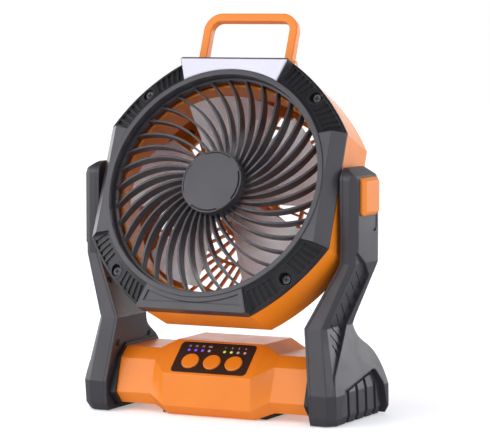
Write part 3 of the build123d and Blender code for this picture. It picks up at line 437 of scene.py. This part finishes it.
def addLeftCap():
    # the left pivot's cap stands just proud of the arm: a rounded square plate with a small chamfer
    mesh = bpy.data.meshes.new("leftPivotCap")
    build = bmesh.new()
    half, corner = leftCap["size"] / 2, leftCap["corner"]
    outline = []
    for quarter in range(4):
        turn = radians(90.0 * quarter)
        for step in range(leftCap["steps"] + 1):
            angle = turn + radians(90.0 * step / leftCap["steps"])
            y = cos(angle) * corner + (half - corner) * (1 if quarter in (0, 3) else -1)
            z = sin(angle) * corner + (half - corner) * (1 if quarter in (0, 1) else -1)
            outline.append((y, z))
    layers = [
        (leftCap["back"], 1.0),
        (leftCap["face"] + leftCap["chamfer"], 1.0),
        (leftCap["face"], 1 - leftCap["chamfer"] / half),
    ]
    rings = []
    middleY, middleZ = leftCap["center"]
    for x, scale in layers:
        rings.append([build.verts.new((x, middleY + y * scale, middleZ + z * scale)) for y, z in outline])
    for first, second in zip(rings, rings[1:]):
        for k in range(len(outline)):
            after = (k + 1) % len(outline)
            build.faces.new((first[k], second[k], second[after], first[after]))
    build.faces.new(rings[-1])
    build.faces.new(list(reversed(rings[0])))
    bmesh.ops.recalc_face_normals(build, faces=build.faces)
    build.to_mesh(mesh)
    build.free()
    mesh.materials.append(orangePlastic)
    cap = bpy.data.objects.new("leftPivotCap", mesh)
    bpy.context.scene.collection.objects.link(cap)
    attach(cap, "stand")
    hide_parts("pivot_cap_left")


addLeftCap()

# the panel's slope, and the numbers printed on it in metres along and out of that slope
slope = {
    "foot": (0.0, -0.046856, 0.0366), "up": (0.0, 0.747409, 0.664364), "out": (0.0, -0.664364, 0.747409),
}
labels = {
    "battery": {"x": -0.0168, "pitch": 0.00635, "texts": ("25", "50", "75", "100"), "size": 0.0027},
    "speed": {"x": 0.0168, "pitch": 0.00635, "texts": ("1", "2", "3", "4"), "size": 0.0027},
    "height": 0.0305, "proud": 0.00075, "ink": 0.00002,
}


def addLabels(kind):
    # small plain numbers over each row of lights
    row = labels[kind]
    up, out = Vector(slope["up"]), Vector(slope["out"])
    turn = Matrix((Vector((1, 0, 0)), up, out)).transposed().to_4x4()
    middle = (len(row["texts"]) - 1) / 2
    for order, text in enumerate(row["texts"]):
        curve = bpy.data.curves.new(kind + "Label" + text, "FONT")
        curve.body = text
        curve.size = row["size"]
        curve.align_x = "CENTER"
        curve.extrude = labels["ink"]
        label = bpy.data.objects.new(kind + "Label" + text, curve)
        x = row["x"] + (order - middle) * row["pitch"]
        spot = Vector(slope["foot"]) + labels["height"] * up + labels["proud"] * out + Vector((x, 0, 0))
        label.matrix_world = Matrix.Translation(spot) @ turn
        bpy.context.scene.collection.objects.link(label)
        curve.materials.append(printInk)
        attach(label, "stand")


addLabels("battery")
addLabels("speed")
print("left cap and panel numbers placed")

# "seen" and "fill" are the paper's own light to the eye and to matt surfaces
paper = {
    "half": 6.0, "color": (0.80, 0.83, 0.88), "inGloss": (0.30, 0.31, 0.33), "rough": 0.6,
    "specular": 0.2, "seen": 0.33, "fill": 0.48,
}


def addFloor():
    half = paper["half"]
    mesh = bpy.data.meshes.new("studioFloor")
    corners = [(-half, -half, 0), (half, -half, 0), (half, half, 0), (-half, half, 0)]
    mesh.from_pydata(corners, [], [(0, 1, 2, 3)])
    floor = bpy.data.objects.new("studioFloor", mesh)
    bpy.context.scene.collection.objects.link(floor)
    material = bpy.data.materials.new("palePaper")
    material.use_nodes = True
    tree = material.node_tree
    shader = tree.nodes["Principled BSDF"]
    shader.inputs["Roughness"].default_value = paper["rough"]
    shader.inputs["Specular IOR Level"].default_value = paper["specular"]
    shader.inputs["Emission Color"].default_value = (1.0, 1.0, 1.0, 1)
    # white to the eye, a soft fill to matt surfaces, and quiet in the gloss
    rays = tree.nodes.new("ShaderNodeLightPath").outputs
    seen = addMath(tree, "MULTIPLY", rays["Is Camera Ray"], paper["seen"])
    fill = addMath(tree, "MULTIPLY", rays["Is Diffuse Ray"], paper["fill"])
    tree.links.new(addMath(tree, "ADD", seen, fill), shader.inputs["Emission Strength"])
    tone = mixColors(tree, rays["Is Glossy Ray"], paper["color"], paper["inGloss"])
    tree.links.new(tone, shader.inputs["Base Color"])
    mesh.materials.append(material)


softboxColor = (1.0, 0.985, 1.04)
softboxes = {
    "keyLeft": {"place": (-1.48, -1.76, 1.05), "aim": (0, 0, 0.18), "size": (2.5, 1.9), "power": 24.5},
    "fillRight": {"place": (2.2, 0.4, 0.7), "aim": (0, 0, 0.2), "size": (1.0, 1.4), "power": 10.0},
    "cornerFill": {"place": (2.0, -1.5, 1.0), "aim": (0, 0, 0.2), "size": (0.9, 0.9), "power": 9.0},
    "rimBack": {"place": (1.05, 2.1, 0.32), "aim": (0, 0, 0.2), "size": (1.8, 0.8), "power": 5.5},
}
sky = {"place": (-1.0, -1.3, 1.9), "aim": (0, 0, 0), "power": 1.0, "angle": 60.0}


def linkLamp(name, light, place, aim):
    lamp = bpy.data.objects.new(name, light)
    lamp.location = place
    lamp.rotation_euler = (Vector(aim) - Vector(place)).to_track_quat("-Z", "Y").to_euler()
    bpy.context.scene.collection.objects.link(lamp)
    return lamp


def addSoftbox(name, box):
    light = bpy.data.lights.new(name, "AREA")
    light.shape = "RECTANGLE"
    light.size, light.size_y = box["size"]
    light.energy = box["power"]
    light.color = softboxColor
    linkLamp(name, light, box["place"], box["aim"])


def addSky():
    # far soft light that is as strong on the far floor as on the fan
    light = bpy.data.lights.new("skyFront", "SUN")
    light.energy = sky["power"]
    light.angle = radians(sky["angle"])
    lamp = linkLamp("skyFront", light, sky["place"], sky["aim"])
    lamp.visible_glossy = False  # it lights matt surfaces only, and leaves no disc in the gloss


# "wall" is where the mirrored back wall begins and is brightest, along Y minus X; it fades out
# upwards over the heights in "fade"
room = {
    "air": (0.97, 0.98, 1.0), "even": 0.70, "front": 0.08, "back": 2.3, "ceiling": 0.08,
    "wall": (-0.35, 1.35), "fade": (0.10, 0.50),
}


def addBackground(tree, color):
    node = tree.nodes.new("ShaderNodeBackground")
    node.inputs["Color"].default_value = (*color, 1)
    return node


def mixBackgrounds(tree, factor, first, second):
    node = tree.nodes.new("ShaderNodeMixShader")
    tree.links.new(factor, node.inputs["Fac"])
    tree.links.new(first, node.inputs[1])
    tree.links.new(second, node.inputs[2])
    return node.outputs["Shader"]


def addWorld():
    # even light on matt surfaces; gloss sees a dark ceiling, a bright wall behind and a dim front
    world = bpy.data.worlds.new("studioAir")
    bpy.context.scene.world = world
    world.use_nodes = True
    tree = world.node_tree
    even = tree.nodes["Background"]
    even.inputs["Color"].default_value = (*room["air"], 1)
    even.inputs["Strength"].default_value = room["even"]
    split = tree.nodes.new("ShaderNodeSeparateXYZ")
    tree.links.new(tree.nodes.new("ShaderNodeTexCoord").outputs["Generated"], split.inputs[0])
    leaning = addMath(tree, "SUBTRACT", split.outputs["Y"], split.outputs["X"])
    wall = addRange(tree, leaning, *room["wall"], room["front"], room["back"])
    low = addRange(tree, split.outputs["Z"], *room["fade"], 1.0, 0.0)
    shine = addMath(tree, "ADD", addMath(tree, "MULTIPLY", wall, low), room["ceiling"])
    mirrored = addBackground(tree, (1.0, 1.0, 1.0))
    tree.links.new(shine, mirrored.inputs["Strength"])
    plain = addBackground(tree, (1.0, 1.0, 1.0))
    rays = tree.nodes.new("ShaderNodeLightPath").outputs
    lit = mixBackgrounds(tree, rays["Is Glossy Ray"], even.outputs[0], mirrored.outputs[0])
    direct = addMath(tree, "MAXIMUM", rays["Is Camera Ray"], rays["Is Transmission Ray"])
    shown = mixBackgrounds(tree, direct, lit, plain.outputs[0])
    tree.links.new(shown, tree.nodes["World Output"].inputs["Surface"])


studio = {
    "target": (0.00965, 0.007744, 0.16619), "distance": 2.21765, "azimuth": 26.24, "elevation": 4.6,
    "lens": 191.5, "sensor": 36.0,
}


def addCamera():
    azimuth, elevation = radians(studio["azimuth"]), radians(studio["elevation"])
    target = Vector(studio["target"])
    toCamera = Vector((sin(azimuth) * cos(elevation), -cos(azimuth) * cos(elevation), sin(elevation)))
    data = bpy.data.cameras.new("studioCamera")
    data.sensor_fit = "HORIZONTAL"
    data.sensor_width = studio["sensor"]
    data.lens = studio["lens"]
    camera = bpy.data.objects.new("studioCamera", data)
    camera.location = target + studio["distance"] * toCamera
    camera.rotation_euler = (-toCamera).to_track_quat("-Z", "Y").to_euler()
    bpy.context.scene.collection.objects.link(camera)
    bpy.context.scene.camera = camera


addFloor()
addWorld()
addSky()
for name, box in softboxes.items():
    addSoftbox(name, box)
addCamera()
bpy.context.scene.view_settings.view_transform = "Standard"
print("studio ready")
